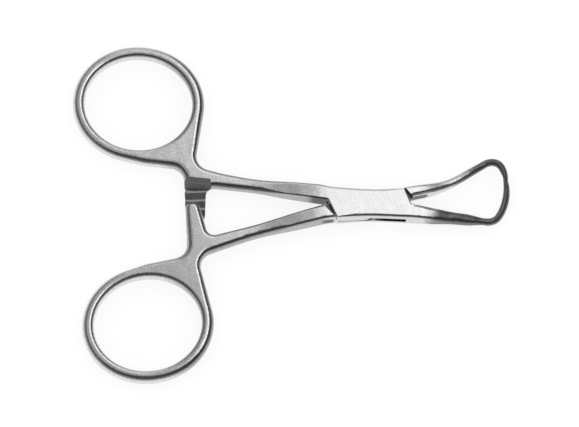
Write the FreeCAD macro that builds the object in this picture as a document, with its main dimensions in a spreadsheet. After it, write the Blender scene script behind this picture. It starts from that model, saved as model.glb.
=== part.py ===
import FreeCAD, Part
import math
import os
from FreeCAD import Vector

# Towel clamp, 90 mm long, of the kind with two sharp curved jaws.
# Two forged halves cross in a box lock and turn on one flush pin.
# X runs from the pin to the jaws and Z is up. The clamp lies flat on Z = 0.
# The origin is on the pin's axis, at the face that the clamp rests on.

doc = FreeCAD.newDocument("towel_clamp")
os.makedirs("parts", exist_ok=True)

# Sizes in mm, and angles in degrees. Along is parallel to X and across to Y.

sheet = doc.addObject("Spreadsheet::Sheet", "sizes")
rows = [
    ("ring_reach", 46.75, "pin to ring centre, along"),
    ("ring_spread", 24.2, "mid-line of the clamp to ring centre"),
    ("hole_long", 22.3, "finger hole, long way"),
    ("hole_wide", 20.35, "finger hole, short way"),
    ("ring_turn", 9, "long way of the hole, turned in towards the jaws"),
    ("ring_band", 2.45, "width of the band round the hole"),
    ("stock", 3.0, "thickness of rings and shanks"),
    ("handle_round", 1.05, "rounding of the edges of arms and shanks"),
    ("hole_round", 0.95, "rounding of the edges of a finger hole"),
    ("ring_round", 1.25, "rounding of the outer edges of a ring"),
    ("brow_edge", 1.4, "rounding of the edges between a ring and its arm"),
    ("foot_back", 15.25, "ring centre to the ring end of the shank, along"),
    ("foot_drop", 17.4, "ring centre to the ring end of the shank, across"),
    ("foot_width", 3.2, "shank width at its ring end"),
    ("waist_back", 7.45, "ring end of the shank to its waist"),
    ("waist_width", 2.55, "shank width at its waist"),
    ("waist_sag", 0.18, "how far the waist bows in to the mid-line"),
    ("waist_round", 60, "radius of the shank's edges at the waist"),
    ("neck_out", 2.6, "end of a cheek to the lock end of the shank"),
    ("neck_spread", 2.3, "mid-line to the lock end of the shank"),
    ("neck_width", 3.15, "shank width at its lock end"),
    ("neck_round", 12, "radius of the shank's outer edge at the lock"),
    ("skew", 0.65, "how far both lock ends sit to the side"),
    ("crook_reach", 4.75, "ring end of the shank to the crook under the upper ring"),
    ("crook_more", 0.3, "how much further back the crook under the lower ring is"),
    ("crook_round", 3.2, "radius of both crooks"),
    ("flare_reach", 1.4, "ring end of the shank to where it flares to the crook"),
    ("flare", 0.4, "how far the upper shank flares out"),
    ("lower_flare", 0.05, "how far the lower shank flares out"),
    ("flare_round", 16, "radius with which the flare begins"),
    ("arm_back", 8.75, "ring centre to the far side of the arms, along"),
    ("brow_drop", 14.7, "ring centre to the top corner of an arm, across"),
    ("brow_round", 3.0, "radius of that corner"),
    ("belly_reach", 8.6, "that corner to where the edge rises to the ring"),
    ("belly_slope", 9, "slope of the edge between the two"),
    ("belly_round", 14, "radius with which it runs on to the ring"),
    ("arm_root", 4.45, "width of a ratchet arm at its root"),
    ("arm_pass", 2.0, "how far an arm's tip passes the mid-line"),
    ("under_tip", 3.9, "width of the lower ratchet arm at its tip"),
    ("over_tip", 2.8, "width of the upper ratchet arm at its tip"),
    ("tip_round", 1.38, "radius of the corners of an arm's tip"),
    ("armpit_round", 1.7, "radius between an arm and its shank"),
    ("teeth", 4, "teeth on each arm"),
    ("tooth_pitch", 1.9, "ratchet tooth to tooth"),
    ("tooth_depth", 0.7, "depth of a ratchet tooth"),
    ("tooth_land", 0.4, "flat on the crest of a tooth"),
    ("root_brink", 1.4, "edge of a shank back to where it slopes down to the teeth"),
    ("root_fall", 2.3, "length of that slope"),
    ("arm_gap", 0.1, "between the crests of the two arms"),
    ("lock_thick", 4.2, "thickness at the box lock"),
    ("lock_width", 6.0, "width of the box lock at the pin"),
    ("lock_half", 7.4, "pin to the corner of a cheek at the jaws"),
    ("lock_taper", 0.2, "how far the lock narrows to its jaw end"),
    ("lock_rise", 0.9, "how far it widens to its shank end"),
    ("lock_round", 0.7, "rounding of the edges of the lock"),
    ("cheek_edge", 0.3, "rounding of the edges at the ends of the cheeks"),
    ("cheek_lean", 0.5, "how much nearer the corner at the shanks is"),
    ("cheek_run", 1.2, "how far a cheek's end runs out to the shank"),
    ("cheek_corner", 0.5, "radius of the corner of a cheek"),
    ("pocket_round", 0.4, "radius in the corner at the foot of a cheek's end"),
    ("pocket_in", 0.4, "where the jaws begin back to that corner"),
    ("flank_round", 50, "radius with which the lock's sides bend at the pin"),
    ("rise_round", 6, "radius with which they run out to the shanks"),
    ("ramp", 16.0, "length over which shank thickness grows into the lock"),
    ("tongue", 1.4, "thickness of the tongue in the mortise"),
    ("tongue_play", 0.06, "gap on either flat of the tongue"),
    ("tongue_inset", 0.05, "how far its edges lie inside those of the cheeks"),
    ("tongue_neck", 0.9, "end of a cheek back to where the tongue turns out"),
    ("tongue_round", 3, "radius with which the tongue turns out"),
    ("mortise_past", 0.8, "end of a cheek to the end wall of the mortise"),
    ("mortise_turn", 29.5, "slant of the end walls of the mortise"),
    ("shoulder_out", 0.2, "corner of a cheek out to the shoulder, at the jaws"),
    ("shoulder_in", 0.25, "how much nearer the shoulder at the shanks is"),
    ("shoulder_turn", 40.0, "slant of the shoulders"),
    ("pin_dia", 2.5, "pin diameter"),
    ("pin_play", 0.03, "gap round the pin in the tongue"),
    ("jaw_out", 1.6, "end of a cheek to where the jaws begin"),
    ("jaw_seat", 3.0, "length of a jaw's root inside the lock"),
    ("jaw_flush", 0.03, "how far that root lies under the faces of the lock"),
    ("jaw_taper", 10.0, "length over which a jaw goes from flat to round"),
    ("jaw_reach", 23.86, "pin to where the lower jaw bends, along"),
    ("jaw_lag", 0.3, "how much further on the upper jaw bends"),
    ("lower_spread", 2.27, "mid-line to the start of the lower jaw"),
    ("lower_root", 3.0, "width of the lower jaw at the lock"),
    ("lower_wire", 2.4, "diameter of the lower jaw at mid length"),
    ("lower_splay", 9.2, "slope of the lower jaw"),
    ("lower_bend", 2.7, "radius of the lower jaw's bend"),
    ("lower_bend_turn", 65.5, "turn of the lower jaw's bend"),
    ("lower_sweep", 11.4, "radius of the lower jaw's end"),
    ("lower_sweep_turn", 56.0, "turn of the lower jaw's end"),
    ("upper_spread", 2.26, "mid-line to the start of the upper jaw"),
    ("upper_root", 2.2, "width of the upper jaw at the lock"),
    ("upper_wire", 1.8, "diameter of the upper jaw at mid length"),
    ("upper_splay", 9.1, "slope of the upper jaw's root"),
    ("upper_stem", 3.6, "length of the upper jaw's root"),
    ("upper_lift", 18.6, "radius by which the upper jaw turns outwards"),
    ("upper_lift_turn", 19.6, "turn outwards of the upper jaw"),
    ("upper_bend", 2.54, "radius of the upper jaw's bend"),
    ("upper_bend_turn", 92.0, "turn of the upper jaw's bend"),
    ("upper_sweep", 7.2, "radius of the upper jaw's end"),
    ("upper_sweep_turn", 33.0, "turn of the upper jaw's end"),
    ("bend_wire", 1.5, "diameter of both jaws at the bend"),
    ("sharp_from", 0.25, "share of the hook before it begins to taper to its point"),
    ("sharp_late", 3, "how late it tapers, where 1 is a plain cone"),
    ("wire_soft", 0.94, "how round a jaw is drawn, where 1 is a full round"),
    ("point", 0.14, "blunt end of a jaw's point"),
    ("tip_shift", 0.6, "how far each point is set over, to pass the other"),
]
for number, (name, value, note) in enumerate(rows, 1):
    sheet.set("A%d" % number, name)
    sheet.set("B%d" % number, str(value))
    sheet.setAlias("B%d" % number, name)
    sheet.set("C%d" % number, note)
doc.recompute()


def size(name):
    return float(sheet.get(name))


# Every cutting block reaches this far past what it cuts
beyond = size("ring_reach")
# A rounding takes at most this share of the width that it is on
wall_share = 0.49

middle = size("lock_thick") / 2
lock_edge = size("lock_width") / 2
lock_half = size("lock_half")
jaw_start = lock_half + size("jaw_out")
neck_reach = lock_half + size("neck_out")
ramp_end = lock_half + size("cheek_run")
ramp_start = ramp_end + size("ramp")
shoulder_reach = lock_half + size("shoulder_out")
stock_share = size("stock") * wall_share
ring_share = 2 * size("ring_band") * wall_share
handle_round = min(size("handle_round"), stock_share, size("waist_width") * wall_share)
hole_round = min(size("hole_round"), stock_share, ring_share - size("ring_round"))
ring_round = min(size("ring_round"), stock_share, ring_share - hole_round)
brow_edge = min(size("brow_edge"), stock_share)


# Drawing in the plane of the clamp

def flat(x, y):
    return Vector(x, y, 0)


def along(angle):
    turn = math.radians(angle)
    return Vector(math.cos(turn), math.sin(turn), 0)


def left_of(way):
    return Vector(-way.y, way.x, 0)


def crossing(p, p_way, q, q_way):
    """Where two lines in the plane meet."""
    spread = p_way.x * q_way.y - p_way.y * q_way.x
    gap = q - p
    return p + p_way * ((gap.x * q_way.y - gap.y * q_way.x) / spread)


def rounded_run(corners):
    """Lines and tangent arcs through corners, each a point and its radius."""
    edges = []
    start = corners[0][0]
    for index in range(1, len(corners) - 1):
        corner, radius = corners[index]
        back = (corners[index - 1][0] - corner).normalize()
        ahead = (corners[index + 1][0] - corner).normalize()
        half = back.getAngle(ahead) / 2
        cut = radius / math.tan(half)
        centre = corner + (back + ahead).normalize() * (radius / math.sin(half))
        first = corner + back * cut
        last = corner + ahead * cut
        inward = (corner - centre).normalize() * radius
        edges.append(Part.makeLine(start, first))
        edges.append(Part.Arc(first, centre + inward, last).toShape())
        start = last
    edges.append(Part.makeLine(start, corners[-1][0]))
    return edges


# Ring, ratchet arm and shank of one half, drawn for the half above the mid-line.
# The half below is its mirror image.

ring_centre = flat(-size("ring_reach"), size("ring_spread"))
ring_axis = along(-size("ring_turn"))
ring_side = left_of(ring_axis)
hole_a = size("hole_long") / 2
hole_b = size("hole_wide") / 2
ring_a = hole_a + size("ring_band")
ring_b = hole_b + size("ring_band")
foot = ring_centre + flat(size("foot_back"), -size("foot_drop"))
arm_left = size("arm_back") - size("ring_reach")


def ring_ellipse(a, b):
    major = ring_centre + ring_axis * a
    minor = ring_centre + ring_side * b
    return Part.Ellipse(major, minor, ring_centre)


def ring_tangent(point, side):
    """Parameter and point where a line from outside touches the ring's edge."""
    gap = point - ring_centre
    u = gap.dot(ring_axis) / ring_a
    v = gap.dot(ring_side) / ring_b
    turn = math.atan2(v, u) + side * math.acos(1 / math.hypot(u, v))
    place = ring_axis * (ring_a * math.cos(turn)) + ring_side * (ring_b * math.sin(turn))
    return turn, ring_centre + place


def shank_edge(neck, side):
    """Three points of a shank's edge, side +1 away from the mid-line."""
    way = (neck - foot).normalize()
    waist = foot + way * size("waist_back") - flat(0, size("waist_sag"))
    out = left_of(way) * side / 2
    return (foot + out * size("foot_width"),
            waist + out * size("waist_width"),
            neck + out * size("neck_width"))


def handle(neck, arm_tip, crook_reach, flare):
    """Corners from the ring to the shank's inner waist, and from its outer neck back."""
    inner = shank_edge(neck, -1)
    outer = shank_edge(neck, 1)
    inner_way = (inner[1] - inner[0]).normalize()
    outer_way = (outer[1] - outer[0]).normalize()
    brow = flat(arm_left, ring_centre.y - size("brow_drop"))
    belly = brow - along(-size("belly_slope")) * size("belly_reach")
    arm_tip_y = -size("arm_pass")
    arm_end = flat(arm_left + arm_tip, arm_tip_y)
    arm_right = flat(arm_left + size("arm_root"), inner[0].y)
    armpit = crossing(arm_right, arm_right - arm_end, inner[0], inner_way)
    flare_start = outer[0] + outer_way * size("flare_reach")
    crook = outer[0] - outer_way * crook_reach + left_of(outer_way) * flare
    heel_turn, heel = ring_tangent(belly, -1)
    throat_turn, throat = ring_tangent(crook, 1)
    tip_round = min(size("tip_round"), arm_tip * wall_share)
    front = [(heel, 0), (belly, size("belly_round")), (brow, size("brow_round")),
             (flat(arm_left, arm_tip_y), tip_round), (arm_end, tip_round),
             (armpit, size("armpit_round")), (inner[1], size("waist_round"))]
    back = [(outer[2], size("neck_round")), (outer[1], size("waist_round")),
            (flare_start, size("flare_round")), (crook, size("crook_round")), (throat, 0)]
    outline = ring_ellipse(ring_a, ring_b)
    band = outline.toShape(throat_turn, heel_turn + 2 * math.pi)
    return front, back, band


# Thickness along the clamp: even stock, then a soft ramp up to the lock

def side_block():
    low = size("stock") / 2
    high = size("lock_thick") / 2
    back_end = -size("ring_reach") - beyond
    half_way = -(ramp_start + ramp_end) / 2
    rise = (high - low) / 2
    bow = ((size("ramp") / 2) ** 2 + rise ** 2) / (2 * rise)
    swing = math.asin(size("ramp") / 2 / bow) / 2
    dip = bow * (1 - math.cos(swing))
    reach = bow * math.sin(swing)

    def at(x, z):
        return Vector(x, -beyond, z)

    top = [Part.makeLine(at(back_end, low), at(-ramp_start, low)),
           Part.Arc(at(-ramp_start, low), at(reach - ramp_start, low + dip),
                    at(half_way, low + rise)).toShape(),
           Part.Arc(at(half_way, low + rise), at(-reach - ramp_end, high - dip),
                    at(-ramp_end, high)).toShape(),
           Part.makeLine(at(-ramp_end, high), at(beyond, high))]
    below = [edge.mirror(Vector(0, 0, 0), Vector(0, 0, 1)) for edge in top]
    ends = [Part.makeLine(at(back_end, low), at(back_end, -low)),
            Part.makeLine(at(beyond, high), at(beyond, -high))]
    wire = Part.Wire(Part.__sortEdges__(top + below + ends))
    return Part.Face(wire).extrude(Vector(0, 2 * beyond, 0))


# How far a face's normal rises, at most for an upright wall and at least for a flat
wall_rise = 0.3
flat_rise = 0.7


def wall_and_flat(shape, edge):
    """True for an edge between an upright wall and a top or bottom face."""
    middle_point = edge.valueAt((edge.FirstParameter + edge.LastParameter) / 2)
    rises = []
    for face in shape.ancestorsOfType(edge, Part.Face):
        u, v = face.Surface.parameter(middle_point)
        rises.append(abs(face.normalAt(u, v).z))
    return len(rises) == 2 and min(rises) < wall_rise and max(rises) > flat_rise


def ease(value, start, end):
    """Soft step from 0 at start to 1 at end."""
    share = min(1, max(0, (value - start) / (end - start)))
    return share * share * (3 - 2 * share)


# A point this near to a line, in mm, or to an ellipse, as a share of it, is on it
near = 0.01


def edge_round(point, crisp_corners):
    """The edges are round on the handle, less so on the lock and crisp at its corners."""
    along_ring = (point - ring_centre).dot(ring_axis)
    across_ring = (point - ring_centre).dot(ring_side)
    if abs(math.hypot(along_ring / hole_a, across_ring / hole_b) - 1) < near:
        return hole_round
    if abs(math.hypot(along_ring / ring_a, across_ring / ring_b) - 1) < near:
        return ring_round
    brow_end = ring_centre.y - size("brow_drop") - 2 * size("brow_round")
    if point.x < arm_left + near and point.y > brow_end:
        return brow_edge
    for corner in crisp_corners:
        if math.hypot(point.x - corner.x, point.y - corner.y) < size("cheek_corner"):
            return size("cheek_edge")
    at_lock = ease(point.x, -ramp_start, -ramp_end)
    return handle_round + (size("lock_round") - handle_round) * at_lock


def forging(name, edges, crisp_corners):
    """One half without its jaw: outline, hole, thickness and rounded edges."""
    height = Vector(0, 0, 2 * size("lock_thick"))
    slab = Part.Face(Part.Wire(Part.__sortEdges__(edges))).extrude(height)
    hole = Part.Face(Part.Wire(ring_ellipse(hole_a, hole_b).toShape()))
    plate = slab.cut(hole.extrude(height)).translated(height * -0.5)
    blank = doc.addObject("Part::Feature", name + "_blank")
    blank.Shape = plate.common(side_block())
    end_from = jaw_start - size("upper_root") / 2
    rounded = doc.addObject("Part::Fillet", name + "_rounded")
    rounded.Base = blank
    chosen = []
    for number, edge in enumerate(blank.Shape.Edges, 1):
        if wall_and_flat(blank.Shape, edge):
            start = edge.valueAt(edge.FirstParameter)
            end = edge.valueAt(edge.LastParameter)
            if min(start.x, end.x) < end_from:
                chosen.append((number, edge_round(start, crisp_corners),
                               edge_round(end, crisp_corners)))
    rounded.Edges = chosen
    doc.recompute()
    return rounded.Shape


# The two outlines. Each goes round the handle and then round its part of the lock.

box_neck = flat(-neck_reach, size("neck_spread") + size("skew"))
through_neck = flat(-neck_reach, size("neck_spread") - size("skew"))


def root_corners(spread, heading, width):
    """The two corners where a jaw leaves the lock, a hair wider than the jaw."""
    centre = flat(jaw_start, spread)
    across = left_of(along(heading)) * (width / 2 + size("jaw_flush"))
    return centre - across, centre + across


def box_outline():
    """The edges, and the corners of the cheeks' ends."""
    front, back, band = handle(box_neck, size("under_tip"), size("crook_reach"),
                               size("flare"))
    below, above = root_corners(-size("lower_spread"), -size("lower_splay"),
                                size("lower_root"))
    waist, neck = shank_edge(box_neck, -1)[1:]
    shank_pocket = crossing(waist, neck - waist, flat(-ramp_end, 0), flat(0, 1))
    shank_corner = flat(size("cheek_lean") - lock_half, -lock_edge)
    pocket_x = jaw_start - size("pocket_in")
    jaw_pocket = crossing(above, along(-size("lower_splay")), flat(pocket_x, 0), flat(0, 1))
    jaw_corner = flat(lock_half, lock_edge - size("lock_taper"))
    cheek = [(shank_pocket, size("pocket_round")), (shank_corner, size("cheek_corner")),
             (flat(0, -lock_edge), size("flank_round")), (below, 0)]
    nose = [(above, 0), (jaw_pocket, size("pocket_round")),
            (jaw_corner, size("cheek_corner")), (flat(0, lock_edge), size("flank_round")),
            (flat(-lock_half, lock_edge + size("lock_rise")), size("rise_round"))]
    end = Part.makeLine(below, above)
    edges = rounded_run(front + cheek) + [end] + rounded_run(nose + back) + [band]
    return edges, [shank_pocket, shank_corner, jaw_pocket, jaw_corner]


def through_outline():
    """Drawn above the mid-line like the other, and then mirrored."""
    front, back, band = handle(through_neck, size("over_tip"),
                               size("crook_reach") + size("crook_more"), size("lower_flare"))
    below, above = root_corners(-size("upper_spread"), -size("upper_splay"),
                                size("upper_root"))
    waist, neck = shank_edge(through_neck, -1)[1:]
    edge = lock_edge - size("tongue_inset")
    side = crossing(waist, neck - waist, flat(0, -edge), flat(1, 0))
    turn_out = lock_half - size("tongue_neck")
    tongue = [(side, size("cheek_corner")), (flat(turn_out, -edge), size("tongue_round")),
              (below, 0)]
    nose = [(above, 0), (flat(0, edge), size("rise_round")),
            (flat(-turn_out, edge), size("tongue_round"))]
    end = Part.makeLine(below, above)
    return rounded_run(front + tongue) + [end] + rounded_run(nose + back) + [band]


# Jaws: each is drawn out from flat stock at the lock to a round, pointed hook

def section(centre, heading, width, thick, radius):
    """Rounded rectangle across the jaw."""
    across = left_of(along(heading))
    up = Vector(0, 0, 1)
    a = width / 2 - radius
    b = thick / 2 - radius
    bow = radius * math.sqrt(0.5)

    def at(u, v):
        return centre + across * u + up * v

    edges = []
    for su, sv in ((1, 1), (-1, 1), (-1, -1), (1, -1)):
        side_point = at(su * (a + radius), sv * b)
        mid_point = at(su * (a + bow), sv * (b + bow))
        flat_point = at(su * a, sv * (b + radius))
        if su * sv > 0:
            edges.append(Part.Arc(side_point, mid_point, flat_point).toShape())
            edges.append(Part.makeLine(flat_point, at(-su * a, sv * (b + radius))))
        else:
            edges.append(Part.Arc(flat_point, mid_point, side_point).toShape())
            edges.append(Part.makeLine(side_point, at(su * (a + radius), -sv * b)))
    return Part.Wire(edges)


# Distance between the sections that a jaw is drawn through, on its stem and its hook
stem_stride = 2.2
hook_stride = 0.5


def jaw(start, heading, lead, bend_x, hook, root, wire, shift):
    """Lead and hook are runs, each a length or radius and its turn.

    Between them a straight run goes on to bend_x.
    """
    seat = size("jaw_seat")
    stations = [(-seat, start - along(heading) * seat, heading)]
    gone = 0
    here = start
    straight = (0, 0)
    for reach, turn in lead + [straight] + hook:
        hooked = (reach, turn) in hook
        if (reach, turn) == straight:
            reach = (bend_x - here.x) / math.cos(math.radians(heading))
        if hooked and (reach, turn) == hook[0]:
            bend_at = gone
            last_plain = len(stations)
        length = reach if turn == 0 else reach * math.radians(abs(turn))
        steps = max(2, round(length / (hook_stride if hooked else stem_stride)))
        stride = length / steps
        if turn:
            stride = 2 * reach * math.sin(math.radians(abs(turn)) / steps / 2)
        for step in range(steps):
            stations.append((gone, here, heading))
            here = here + along(heading + turn / steps / 2) * stride
            heading += turn / steps
            gone += length / steps
    stations.append((gone, here, heading))
    sharp_from = bend_at + (gone - bend_at) * size("sharp_from")
    wires = []
    for far, place, angle in stations:
        slim = ease(far, 0, size("jaw_taper"))
        fine = ease(far, size("jaw_taper"), bend_at)
        sharp = max(0, (far - sharp_from) / (gone - sharp_from))
        sharp = sharp ** size("sharp_late")
        width = root + (wire - root) * slim + (size("bend_wire") - wire) * fine
        thick = size("lock_thick") - size("jaw_flush")
        thick += (wire - thick) * slim + (size("bend_wire") - wire) * fine
        width += (size("point") - width) * sharp
        thick += (size("point") - thick) * sharp
        soft = 2 * size("lock_round") / root
        soft += (size("wire_soft") - soft) * ease(far, 0, size("jaw_taper"))
        over = shift * ease(far, bend_at, sharp_from + size("bend_wire"))
        wires.append(section(place + Vector(0, 0, over), angle, width, thick,
                             min(width, thick) / 2 * soft))
    plain = Part.makeLoft(wires[:last_plain + 1], True, False)
    hook_end = Part.makeLoft(wires[last_plain:], True, False)
    return plain, hook_end


lower_jaw = jaw(flat(jaw_start, -size("lower_spread")), -size("lower_splay"),
                [], size("jaw_reach"),
                [(size("lower_bend"), size("lower_bend_turn")),
                 (size("lower_sweep"), size("lower_sweep_turn"))],
                size("lower_root"), size("lower_wire"), -size("tip_shift"))
upper_jaw = jaw(flat(jaw_start, size("upper_spread")), size("upper_splay"),
                [(size("upper_stem"), 0), (size("upper_lift"), size("upper_lift_turn"))],
                size("jaw_reach") + size("jaw_lag"),
                [(size("upper_bend"), -size("upper_bend_turn")),
                 (size("upper_sweep"), -size("upper_sweep_turn"))],
                size("upper_root"), size("upper_wire"), size("tip_shift"))


# Ratchet: what is cut from the stock above the teeth of the lower arm

def tooth_cutter():
    crest = -size("arm_gap") / 2
    floor = crest - size("tooth_depth")
    pitch = size("tooth_pitch")
    teeth = int(size("teeth"))
    left = arm_left - beyond
    right = arm_left + size("arm_root") + handle_round

    def at(y, z):
        return Vector(left, y, z)

    points = [at(beyond, beyond), at(beyond, floor)]
    for count in range(teeth):
        steep = ((teeth + 1) / 2 - count) * pitch
        points += [at(steep, floor), at(steep, crest), at(steep - size("tooth_land"), crest)]
    points += [at(steep - pitch, floor), at(-beyond, floor), at(-beyond, beyond),
               at(beyond, beyond)]
    comb = Part.Face(Part.makePolygon(points)).extrude(Vector(right - left, 0, 0))
    edge = shank_edge(box_neck, -1)
    way = (edge[1] - edge[0]).normalize()
    out = left_of(way)
    up = Vector(0, 0, 1)
    brink = edge[0] + out * size("root_brink") - way * beyond
    brink_top = brink + up * size("stock") / 2
    brink_foot = brink - out * size("root_fall") + up * floor
    corners = [brink + up * beyond, brink_top, brink_foot, brink_foot - up * beyond,
               brink - out * 2 * beyond + up * (floor - beyond),
               brink - out * 2 * beyond + up * beyond, brink + up * beyond]
    slope = Part.Face(Part.makePolygon(corners)).extrude(way * 2 * beyond)
    return comb.common(slope)


cutter = tooth_cutter()

# Female half: upper ring, the lower ratchet arm, both cheeks and the lower jaw

up_to_middle = Vector(0, 0, middle)

box_solid = forging("box", *box_outline())
box_solid = box_solid.fuse(lower_jaw[0]).fuse(lower_jaw[1]).cut(cutter)
box_forged = doc.addObject("Part::Feature", "box_forged")
box_forged.Shape = box_solid.translated(up_to_middle)

mortise = doc.addObject("Part::Box", "mortise")
mortise.setExpression("Length", "2 * (sizes.lock_half + sizes.mortise_past)")
mortise.setExpression("Width", "4 * sizes.lock_width")
mortise.setExpression("Height", "sizes.tongue + 2 * sizes.tongue_play")
turn = FreeCAD.Rotation(Vector(0, 0, 1), -size("mortise_turn"))
corner = Vector(-lock_half - size("mortise_past"), -2 * size("lock_width"),
                -size("tongue") / 2 - size("tongue_play"))
mortise.Placement = FreeCAD.Placement(up_to_middle + turn.multVec(corner), turn)

rivet_hole = doc.addObject("Part::Cylinder", "rivet_hole")
rivet_hole.setExpression("Radius", "sizes.pin_dia / 2")
rivet_hole.setExpression("Height", "sizes.lock_thick")

box_cuts = doc.addObject("Part::MultiFuse", "box_cuts")
box_cuts.Shapes = [mortise, rivet_hole]

box_half = doc.addObject("Part::Cut", "box_half")
box_half.Base = box_forged
box_half.Tool = box_cuts

# Male half: lower ring, the upper ratchet arm, the thin tongue and the upper jaw

through_solid = forging("through", through_outline(), [])
through_solid = through_solid.mirror(Vector(0, 0, 0), Vector(0, 1, 0))
over_cutter = cutter.copy()
over_cutter.rotate(Vector(0, 0, 0), Vector(1, 0, 0), 180)
through_solid = through_solid.fuse(upper_jaw[0]).fuse(upper_jaw[1]).cut(over_cutter)
through_forged = doc.addObject("Part::Feature", "through_forged")
through_forged.Shape = through_solid.translated(up_to_middle)


def shoulder(name, floor):
    """Stock taken off one flat of the tongue, between its shoulders."""
    box = doc.addObject("Part::Box", name)
    box.setExpression("Length", "2 * (sizes.lock_half + sizes.shoulder_out) - sizes.shoulder_in")
    box.setExpression("Width", "4 * sizes.lock_width")
    box.setExpression("Height", "sizes.lock_thick")
    turn = FreeCAD.Rotation(Vector(0, 0, 1), size("shoulder_turn"))
    corner = Vector(size("shoulder_in") - shoulder_reach, -2 * size("lock_width"), floor)
    box.Placement = FreeCAD.Placement(turn.multVec(corner), turn)
    return box


upper_shoulder = shoulder("upper_shoulder", middle + size("tongue") / 2)
lower_shoulder = shoulder("lower_shoulder", middle - size("tongue") / 2 - size("lock_thick"))

running_hole = doc.addObject("Part::Cylinder", "running_hole")
running_hole.setExpression("Radius", "sizes.pin_dia / 2 + sizes.pin_play")
running_hole.setExpression("Height", "sizes.lock_thick")

through_cuts = doc.addObject("Part::MultiFuse", "through_cuts")
through_cuts.Shapes = [upper_shoulder, lower_shoulder, running_hole]

through_half = doc.addObject("Part::Cut", "through_half")
through_half.Base = through_forged
through_half.Tool = through_cuts

# Pin, riveted into both cheeks and ground flush with them

lock_pin = doc.addObject("Part::Cylinder", "lock_pin")
lock_pin.setExpression("Radius", "sizes.pin_dia / 2")
lock_pin.setExpression("Height", "sizes.lock_thick")

doc.recompute()

for thing in doc.Objects:
    if "Invalid" in thing.State or "Error" in thing.State:
        raise ValueError("bad object " + thing.Name)

for node in (box_half, through_half, lock_pin):
    if node.Shape.isNull() or not node.Shape.isValid() or len(node.Shape.Solids) != 1:
        raise ValueError("bad shape " + node.Name)
    node.Label = node.Name
    node.Shape.exportStep("parts/" + node.Name + ".step")
    print(node.Name, round(node.Shape.Volume, 2), node.Shape.BoundBox)
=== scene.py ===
import math

import bmesh
import bpy
from mathutils import Matrix, Vector


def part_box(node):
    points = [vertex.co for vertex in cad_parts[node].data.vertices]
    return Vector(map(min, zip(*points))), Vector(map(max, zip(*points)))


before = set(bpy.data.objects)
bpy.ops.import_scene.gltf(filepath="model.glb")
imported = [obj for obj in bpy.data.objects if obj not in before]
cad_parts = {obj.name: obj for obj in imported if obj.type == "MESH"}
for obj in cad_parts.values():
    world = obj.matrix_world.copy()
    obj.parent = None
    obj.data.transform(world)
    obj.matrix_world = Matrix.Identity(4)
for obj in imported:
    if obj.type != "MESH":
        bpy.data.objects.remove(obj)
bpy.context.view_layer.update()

# Female half: ring, shank, lower ratchet arm, the two cheeks of the box lock and the
# lower jaw, all one forging. Hardened stainless steel: the lock is ground flat, the
# handle is belted and glass-beaded, the jaws are filed by hand and carry painted shade.

millimetre = 0.001


def mm(*lengths):
    """Lengths given in millimetres, as metres."""
    return tuple(length * millimetre for length in lengths)


class Nodes:
    """The nodes of one material, with short calls to add and join them."""

    def __init__(self, name):
        self.material = bpy.data.materials.new(name)
        self.material.use_nodes = True
        self.tree = self.material.node_tree

    def add(self, kind, **settings):
        node = self.tree.nodes.new("ShaderNode" + kind)
        for key, value in settings.items():
            if key in node.inputs:
                node.inputs[key].default_value = value
            else:
                setattr(node, key, value)
        return node

    def join(self, source, socket):
        self.tree.links.new(source, socket)

    def xyz(self, source):
        """The three numbers of a place or a direction."""
        node = self.add("SeparateXYZ")
        self.join(source, node.inputs[0])
        return node.outputs[0], node.outputs[1], node.outputs[2]

    def reckon(self, operation, *values):
        """One step of arithmetic on numbers and sockets."""
        node = self.add("Math", operation=operation)
        for index, value in enumerate(values):
            if isinstance(value, (int, float)):
                node.inputs[index].default_value = value
            else:
                self.join(value, node.inputs[index])
        return node.outputs[0]

    def all_of(self, first, *others):
        """Where every one of these masks holds."""
        for other in others:
            first = self.reckon("MULTIPLY", first, other)
        return first

    def step(self, value, start, end, low=0.0, high=1.0):
        """Soft step of a value from low to high between start and end."""
        node = self.add("MapRange", interpolation_type="SMOOTHSTEP")
        for key, number in (("From Min", start), ("From Max", end),
                            ("To Min", low), ("To Max", high)):
            node.inputs[key].default_value = number
        self.join(value, node.inputs["Value"])
        return node.outputs["Result"]

    def grain(self, place, stretch, grains, layers):
        """Noise of so many grains a metre with finer layers, drawn out along one way."""
        mapping = self.add("Mapping")
        mapping.inputs["Scale"].default_value = stretch
        self.join(place, mapping.inputs["Vector"])
        noise = self.add("TexNoise", Scale=grains, Detail=layers, Roughness=fine_share)
        self.join(mapping.outputs["Vector"], noise.inputs["Vector"])
        return noise.outputs["Fac"]

    def bump(self, height, depth, strength, under):
        """Relief over the relief that lies under it."""
        node = self.add("Bump", Distance=depth, Strength=strength)
        self.join(height, node.inputs["Height"])
        if under:
            self.join(under, node.inputs["Normal"])
        return node.outputs["Normal"]


# Grains a metre, and how many finer layers lie over them: bead blast, belt lines, slow
# unevenness of the flats, patches, and ripples of the jaws
speckle_grains = (3000, 3)
belt_grains = (3600, 3)
swell_grains = (130, 2)
patch_grains = (420, 3)
ripple_grains = (330, 1)
fine_share = 0.6
round_grain = (1, 1, 1)
belt_stretch = (0.07, 1, 1)

# How level a face lies, 1 for flat and 0 for upright, where a flat turns into a rounding
# and where a rounding turns into a wall
flat_edge = (0.96, 0.85)
wall_edge = (0.28, 0.08)

# Each border is where one finish starts to change and where the next is complete
handle_start = mm(-7.0, -12.0)
ring_to_shank = mm(-44.0, -37.0)
shank_to_lock = mm(-10.5, -8.0)
arm_start = mm(-31.0, -32.5)
arm_side = mm(9.5, 8.5)
tooth_turn = (0.1, 0.3)

# The border of the jaws slants and wavers, as a hand leaves it
jaw_start = mm(15.0, 19.5)
jaw_slant = 0.8
hand_error = 4 * millimetre


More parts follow.
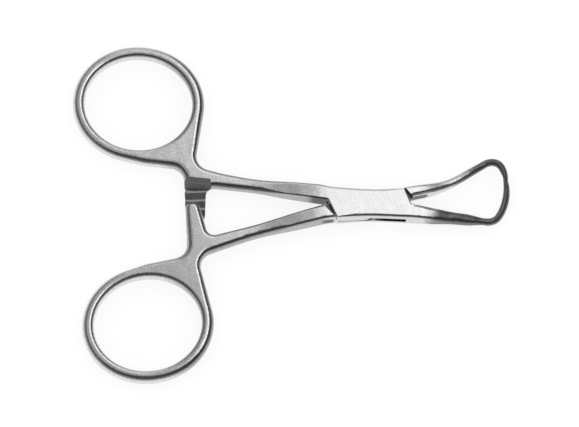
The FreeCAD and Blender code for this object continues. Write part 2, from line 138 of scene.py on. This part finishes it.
def worked_zones(n, x, y, z, facing_z, patch, teeth_level, teeth_face):
    """Where the jaws and the teeth are, each a mask."""
    along = n.reckon("ADD", x, n.reckon("MULTIPLY", patch, hand_error))
    along = n.reckon("SUBTRACT", along, n.reckon("MULTIPLY", y, jaw_slant))
    jaws = n.step(along, *jaw_start)
    beside = n.reckon("ABSOLUTE", y)
    teeth = n.all_of(n.step(x, *arm_start), n.step(beside, *arm_side),
                     n.step(z, *teeth_level),
                     n.step(facing_z, *(turn * teeth_face for turn in tooth_turn)))
    return jaws, teeth


# Painted shade darkens the inside of the lock, and also the corner where the shanks
# meet it
lock_middle = 2.1 * millimetre
tongue_half = mm(1.1, 0.8)
lock_reach = mm(12.5, 11.5)
slot_end = mm(2.0, 3.4)
shank_end = mm(-7.0, -8.0)
corner_start = mm(-14.0, -10.5)
corner_end = mm(-7.0, -7.5)
corner_side = mm(3.0, 2.2)
corner_turn = (0.80, 0.60)


def painted_recess_shade_mask(n, x, y, z, rise, inner_edge):
    """Where the painted shade of the lock's inside and of the corner lies, in one mask."""
    beside = n.reckon("ABSOLUTE", y)
    off_middle = n.reckon("ABSOLUTE", n.reckon("SUBTRACT", z, lock_middle))
    ends = n.reckon("MAXIMUM", n.step(x, *slot_end), n.step(x, *shank_end))
    painted_recess_shade = n.all_of(n.step(n.reckon("ABSOLUTE", x), *lock_reach),
                      n.step(beside, *inner_edge), ends, n.step(off_middle, *tongue_half))
    painted_corner_shade = n.all_of(n.step(x, *corner_start), n.step(x, *corner_end),
                      n.step(beside, *corner_side), n.step(rise, *corner_turn))
    return n.reckon("MAXIMUM", painted_recess_shade, painted_corner_shade)


# How much light the steel gives back, and what share is left in each zone
steel_level = (0.81, 0.85)
patch_span = (0.35, 0.65)
# Painted shade on the jaws and on the teeth, as the share of the level they keep
jaw_painted_shade = 0.28
tooth_painted_shade = 0.60
# Painted shade: the lock's slot and the corner by the shanks keep this share
recess_shade_share = 0.12
# Painted shade on the walls, and the share of the wall and rounding shade kept on the rings
# and the lock
wall_painted_shade = 0.50
ring_shade_share = 0.25
lock_shade_share = 0.30
lock_fleck = 0.06
handle_fleck = 0.17
speckle_span = (0.30, 0.70)
speckle_swing = (-1.0, 0.9)
blue_share = 0.995

# Edges that hands and trays have rubbed smoother, brightened with a painted sheen
wear_and_sheen_start = (0.70, 0.93)
wear_and_sheen_end = (0.995, 0.97)
painted_sheen_share = 1.06


def steel_colour(n, x, rise, wear_and_sheen, on_handle, jaws, teeth, painted_recess_shade, patch, speckle,
                 rounding_painted_shade):
    level = n.step(patch, *patch_span, *steel_level)
    # Painted shade darkens the jaws, the teeth and the recesses of the lock
    for mask, share in ((jaws, jaw_painted_shade), (teeth, tooth_painted_shade), (painted_recess_shade, recess_shade_share)):
        level = n.reckon("MULTIPLY", level, n.step(mask, 0.0, 1.0, 1.0, share))

    # Painted shade darkens roundings and walls against flats, least on the rings and the lock
    rounded = n.all_of(n.step(rise, *flat_edge), n.step(rise, *reversed(wall_edge)))
    painted_shade = n.reckon("ADD", n.reckon("MULTIPLY", rounded, rounding_painted_shade),
                    n.reckon("MULTIPLY", n.step(rise, *wall_edge), wall_painted_shade))
    painted_shade = n.all_of(painted_shade, n.step(x, *ring_to_shank, ring_shade_share, 1.0),
                    n.step(x, *shank_to_lock, 1.0, lock_shade_share),
                    n.reckon("SUBTRACT", 1.0, jaws), n.reckon("SUBTRACT", 1.0, teeth))
    level = n.reckon("MULTIPLY", level, n.reckon("SUBTRACT", 1.0, painted_shade))

    fleck = n.step(on_handle, 0.0, 1.0, lock_fleck, handle_fleck)
    shade = n.reckon("MULTIPLY", fleck, n.step(speckle, *speckle_span, *speckle_swing))
    level = n.reckon("MULTIPLY", level, n.reckon("ADD", 1.0, shade))
    # Painted sheen brightens the rubbed edges
    level = n.reckon("MULTIPLY", level, n.step(wear_and_sheen, 0.0, 1.0, 1.0, painted_sheen_share))
    colour = n.add("CombineColor")
    n.join(level, colour.inputs["Red"])
    n.join(level, colour.inputs["Green"])
    n.join(n.reckon("MULTIPLY", level, blue_share), colour.inputs["Blue"])
    return colour.outputs[0]


# Roughness between and along the belt lines, and how the zones depart from it
belt_span = (0.3, 0.7)
belt_rough = (0.15, 0.23)
rubbed_smoother = 0.02
jaw_rougher = 0.20
tooth_rougher = 0.28


def steel_roughness(n, belt, wear_and_sheen, jaws, teeth):
    rough = n.step(belt, *belt_span, *belt_rough)
    rough = n.reckon("SUBTRACT", rough, n.reckon("MULTIPLY", wear_and_sheen, rubbed_smoother))
    rough = n.reckon("ADD", rough, n.reckon("MULTIPLY", jaws, jaw_rougher))
    return n.reckon("ADD", rough, n.reckon("MULTIPLY", teeth, tooth_rougher))


# The handle's flats are belted off level by hand. The fall starts at the lock, and
# eases in over this length.
fall_start = 7.5 * millimetre
fall_ease = 5 * millimetre

# Depth of each relief, and how strongly it shows
full = 1.0
swell_relief = (0.18 * millimetre, 0.60)
ripple_relief = (0.55 * millimetre, 0.60)
belt_relief = (0.002 * millimetre, 0.35)
speckle_relief = (0.002 * millimetre, 0.40)


def steel_relief(n, x, swell, ripple, belt, speckle, handle_fall, hollows):
    past = n.reckon("MINIMUM", n.reckon("ADD", x, fall_start), 0.0)
    fall = n.reckon("DIVIDE", n.reckon("MULTIPLY", past, past),
                    n.reckon("SUBTRACT", fall_ease, past))
    relief = n.bump(n.reckon("MULTIPLY", fall, -1.0), handle_fall, full, None)
    for height, (depth, strength) in ((swell, swell_relief), (ripple, ripple_relief),
                                      (belt, belt_relief), (speckle, speckle_relief)):
        relief = n.bump(height, depth, strength, relief)
    for hollow_end, hollow_start, hollow_depth in hollows:
        relief = n.bump(n.step(x, hollow_end, hollow_start), hollow_depth, full, relief)
    return relief


def ground_steel(name, brush_way, teeth_level, teeth_face, inner_edge, rounding_painted_shade,
                 handle_fall, hollows):
    """Steel by zones: bright lock, satin handle, painted shade on jaws, teeth, walls,
    recesses.
    """
    n = Nodes(name)
    shader = n.tree.nodes["Principled BSDF"]
    shader.inputs["Metallic"].default_value = 1.0
    coordinates = n.add("TexCoord")
    place = coordinates.outputs["Object"]
    x, y, z = n.xyz(place)
    facing_z = n.xyz(coordinates.outputs["Normal"])[2]
    rise = n.reckon("ABSOLUTE", facing_z)

    speckle = n.grain(place, round_grain, *speckle_grains)
    turned = n.add("Mapping")
    turned.inputs["Rotation"].default_value = (0, 0, math.radians(brush_way))
    n.join(place, turned.inputs["Vector"])
    belt = n.grain(turned.outputs["Vector"], belt_stretch, *belt_grains)
    patch = n.grain(place, round_grain, *patch_grains)
    on_handle = n.step(x, *handle_start)
    swell = n.reckon("MULTIPLY", n.grain(place, round_grain, *swell_grains), on_handle)

    jaws, teeth = worked_zones(n, x, y, z, facing_z, patch, teeth_level, teeth_face)
    painted_recess_shade = painted_recess_shade_mask(n, x, y, z, rise, inner_edge)
    ripple = n.reckon("MULTIPLY", n.grain(place, round_grain, *ripple_grains), jaws)
    wear_and_sheen = n.all_of(n.step(rise, *wear_and_sheen_start), n.step(rise, *wear_and_sheen_end))
    colour = steel_colour(n, x, rise, wear_and_sheen, on_handle, jaws, teeth, painted_recess_shade, patch, speckle,
                          rounding_painted_shade)
    n.join(colour, shader.inputs["Base Color"])
    n.join(steel_roughness(n, belt, wear_and_sheen, jaws, teeth), shader.inputs["Roughness"])
    relief = steel_relief(n, x, swell, ripple, belt, speckle, handle_fall, hollows)
    n.join(relief, shader.inputs["Normal"])
    return n.material


def finish_node(node, steel):
    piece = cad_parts[node]
    piece.data.materials.clear()
    piece.data.materials.append(steel)


# The lower arm's teeth lie under this height and face up. The shank is ground a little
# hollow next to the lock.
# The roundings of this half carry painted shade of this share
female_steel = ground_steel(
    "female_half_steel", brush_way=70, teeth_level=mm(2.9, 2.3), teeth_face=1,
    inner_edge=mm(2.9, 2.7), rounding_painted_shade=0.58, handle_fall=0.042,
    hollows=[mm(-24, -8, 0.45)])
finish_node("box_half", female_steel)

# Male half: the other forging, with the tongue that runs through the cheeks. The same
# steel and finish, held the other way against the belt. Its shank is ground hollow next
# to the lock and again before the ring.

# The upper arm's teeth lie over this height and face down
# The roundings of this half carry painted shade of this share
male_steel = ground_steel(
    "male_half_steel", brush_way=115, teeth_level=mm(1.3, 1.9), teeth_face=-1,
    inner_edge=mm(3.4, 3.1), rounding_painted_shade=0.55, handle_fall=0.046,
    hollows=[mm(-24, -9, 0.48), mm(-48, -34, 0.20)])
finish_node("through_half", male_steel)

# Pin of the box lock: a stainless rod riveted into both cheeks of the female half, and
# ground flush in one pass with them.

finish_node("lock_pin", female_steel)

# Paper: the clamp lies on a wide sheet of white paper. Eye and steel see the same sheet,
# lit nearly even, which keeps the clamp's shadow.

paper_half = 4.0
paper_under = 0.02 * millimetre
paper_colour = 0.9
paper_shaded = 0.20
paper_glow = 0.82

paper_mesh = bpy.data.meshes.new("paper")
corners = [(-paper_half, -paper_half, 0), (paper_half, -paper_half, 0),
           (paper_half, paper_half, 0), (-paper_half, paper_half, 0)]
paper_mesh.from_pydata(corners, [], [(0, 1, 2, 3)])
paper = bpy.data.objects.new("paper", paper_mesh)
paper.location.z = -paper_under
bpy.context.scene.collection.objects.link(paper)

n = Nodes("white_paper")
diffuse = n.tree.nodes["Principled BSDF"]
diffuse.inputs["Base Color"].default_value = (paper_colour, paper_colour, paper_colour, 1)
diffuse.inputs["Roughness"].default_value = 1.0
diffuse.inputs["Specular IOR Level"].default_value = 0.0
faint = n.add("BsdfDiffuse", Color=(paper_shaded, paper_shaded, paper_shaded, 1))
glow = n.add("Emission", Strength=paper_glow)
lit = n.add("AddShader")
n.join(faint.outputs[0], lit.inputs[0])
n.join(glow.outputs[0], lit.inputs[1])
rays = n.add("LightPath")
seen = n.reckon("MAXIMUM", rays.outputs["Is Camera Ray"], rays.outputs["Is Glossy Ray"])
seen = n.reckon("MAXIMUM", seen, rays.outputs["Is Transmission Ray"])
either = n.add("MixShader")
n.join(seen, either.inputs["Fac"])
n.join(diffuse.outputs[0], either.inputs[1])
n.join(lit.outputs[0], either.inputs[2])
n.join(either.outputs[0], n.tree.nodes["Material Output"].inputs["Surface"])
paper_mesh.materials.append(n.material)

# Room: dark walls with low white boards round the table, and a softbox hung over the
# far side. Only the steel's reflections see it.

room_radius = 0.45
least_height = 0.01
dark_light = 0.060
board_light = 0.32
board_edge = (0.36, 0.56)

# Where the softbox starts and ends, along and across the table, at the lamp's height
lamp_height = 0.35
panel_x = (-0.30, 0.12)
panel_y = (-0.02, 0.90)
panel_soft = 0.04

# It is brightest past a slanting edge but for its far end, and faintest before the edge
panel_light = 0.50
bright_light = 1.06
faint_light = 0.28
bright_edge = (-0.005, 0.035)
faint_edge = (-0.06, -0.005)
bright_way = math.radians(20)
bright_far = (0.32, 0.20)

room_mesh = bpy.data.meshes.new("room")
dome = bmesh.new()
bmesh.ops.create_uvsphere(dome, u_segments=48, v_segments=24, radius=room_radius)
dome.to_mesh(room_mesh)
dome.free()
room = bpy.data.objects.new("room", room_mesh)
bpy.context.scene.collection.objects.link(room)

n = Nodes("softbox_and_room")
n.tree.nodes.remove(n.tree.nodes["Principled BSDF"])
x, y, z = n.xyz(n.add("NewGeometry").outputs["Position"])
height = n.reckon("MAXIMUM", z, least_height)
lamp_x = n.reckon("MULTIPLY", n.reckon("DIVIDE", x, height), lamp_height)
lamp_y = n.reckon("MULTIPLY", n.reckon("DIVIDE", y, height), lamp_height)
softbox = n.all_of(n.step(lamp_x, panel_x[0] - panel_soft, panel_x[0]),
                   n.step(lamp_x, panel_x[1] + panel_soft, panel_x[1]),
                   n.step(lamp_y, panel_y[0] - panel_soft, panel_y[0]),
                   n.step(lamp_y, panel_y[1] + panel_soft, panel_y[1]))
slant = n.reckon("ADD", n.reckon("MULTIPLY", lamp_x, math.cos(bright_way)),
                 n.reckon("MULTIPLY", lamp_y, math.sin(bright_way)))
bright = n.all_of(n.step(slant, *bright_edge), n.step(lamp_y, *bright_far))
panel = n.reckon("ADD", n.step(bright, 0.0, 1.0, panel_light, bright_light),
                 n.step(slant, *faint_edge, faint_light - panel_light, 0.0))
boards = n.step(n.reckon("DIVIDE", z, room_radius), *board_edge, board_light, dark_light)
glow = n.add("Emission")
n.join(n.reckon("ADD", n.reckon("MULTIPLY", softbox, panel), boards), glow.inputs["Strength"])
n.join(glow.outputs[0], n.tree.nodes["Material Output"].inputs["Surface"])
room_mesh.materials.append(n.material)
room.visible_camera = False
room.visible_diffuse = False
room.visible_transmission = False
room.visible_volume_scatter = False
room.visible_shadow = False

# Sky: an even white from all round that lights the paper softly. The steel doesn't
# mirror it.

sky = bpy.data.worlds.new("even_white")
sky.use_nodes = True
sky.node_tree.nodes["Background"].inputs["Color"].default_value = (1, 1, 1, 1)
bpy.context.scene.world = sky
sky.cycles_visibility.glossy = False

# Camera: 20 degrees from straight above, on the side of the lower ring, rolled a
# little, and so far off that the clamp is seen nearly without perspective.

pixel = 0.2064 * millimetre
frame_wide = 579
frame_high = 427
pin_pixel = (369.5, 205.5)
lean = math.radians(20)
roll = math.radians(2.5)
camera_away = 3.0
film_wide = 36
sight_end = 20

right = Vector((math.cos(roll), -math.sin(roll), 0))
away = Vector((-math.sin(roll) * math.sin(lean), -math.cos(roll) * math.sin(lean),
               math.cos(lean)))
up = away.cross(right)
low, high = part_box("lock_pin")
aim = (low + high) / 2
aim += right * (frame_wide / 2 - pin_pixel[0]) * pixel
aim += up * (pin_pixel[1] - frame_high / 2) * pixel
view = bpy.data.cameras.new("view")
view.sensor_width = film_wide
view.lens = film_wide * camera_away / (frame_wide * pixel)
view.clip_end = sight_end
camera = bpy.data.objects.new("view", view)
turn = Matrix((right, up, away)).transposed().to_4x4()
camera.matrix_world = Matrix.Translation(aim + away * camera_away) @ turn
bpy.context.scene.collection.objects.link(camera)
bpy.context.scene.camera = camera
bpy.context.scene.view_settings.view_transform = "Standard"
